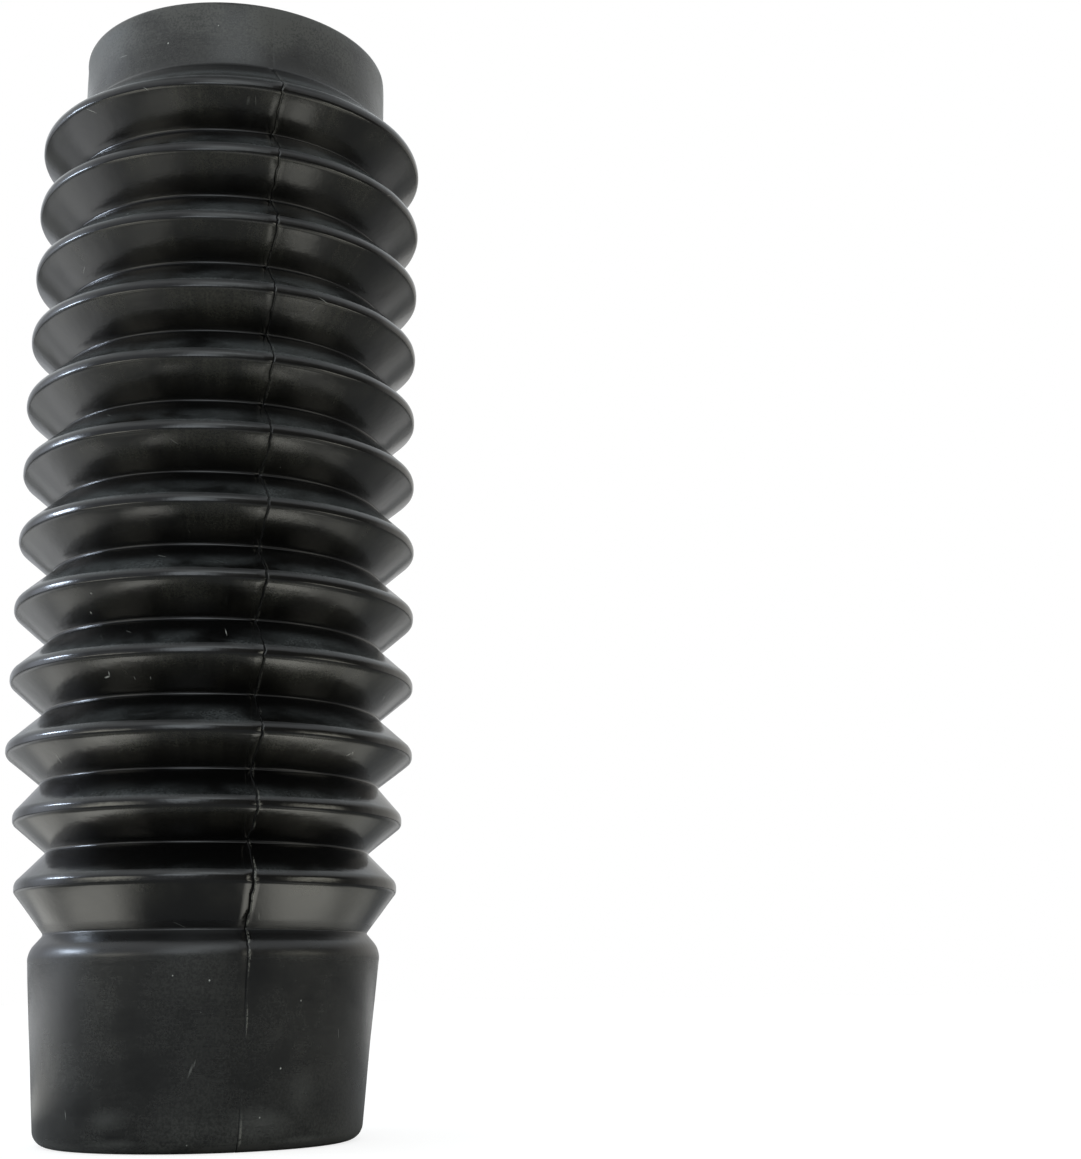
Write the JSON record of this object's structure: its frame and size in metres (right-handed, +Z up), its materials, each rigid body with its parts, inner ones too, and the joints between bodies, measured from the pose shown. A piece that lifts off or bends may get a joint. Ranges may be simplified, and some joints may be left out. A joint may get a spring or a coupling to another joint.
{
  "type": "fork gaiter",
  "caption": "Black rubber bellows for a telescopic motorcycle fork, with a plain collar above and a tapered cuff below, open right through.",
  "frame": {"origin": "centre of the foot of the cuff, in the plane that it stands on", "axes": "+Z up along the bore's axis, from the cuff to the collar"},
  "size_m": [0.072, 0.072, 0.2019],
  "materials": {
    "rubber": "semi-matt black moulded rubber with a fine parting line, light scuffs and specks of dust"
  },
  "bodies": {
    "root": {"fork_gaiter": "rubber"}
  },
  "joints": []
}
